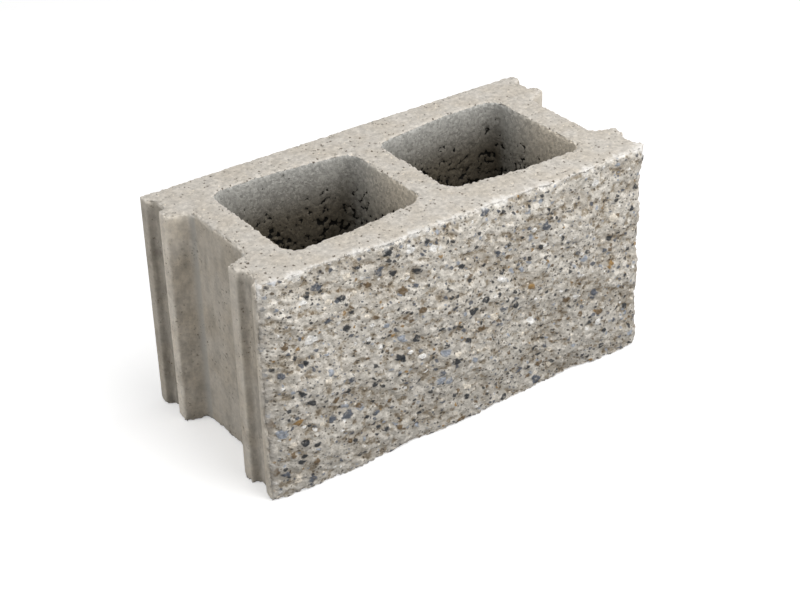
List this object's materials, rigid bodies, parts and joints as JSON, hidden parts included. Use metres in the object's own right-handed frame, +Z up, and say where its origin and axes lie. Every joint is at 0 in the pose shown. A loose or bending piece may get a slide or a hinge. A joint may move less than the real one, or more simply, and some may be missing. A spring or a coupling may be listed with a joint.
{
  "type": "split face concrete block",
  "caption": "Hollow concrete masonry block with a rough split front, a flat moulded back, tapered through cores, and recessed, grooved ends for mortar.",
  "frame": {"origin": "bottom centre of the block's box, on the bed it stands on", "axes": "+X along the length, +Y towards the flat moulded back, +Z up through the cores; the split face looks along -Y"},
  "size_m": [0.39, 0.1901, 0.2],
  "materials": {
    "concrete": "dry-cast concrete, moulded smooth on the ends and back, broken open on the front to show its aggregate"
  },
  "bodies": {
    "root": {"split_face_block": "concrete"}
  },
  "joints": []
}
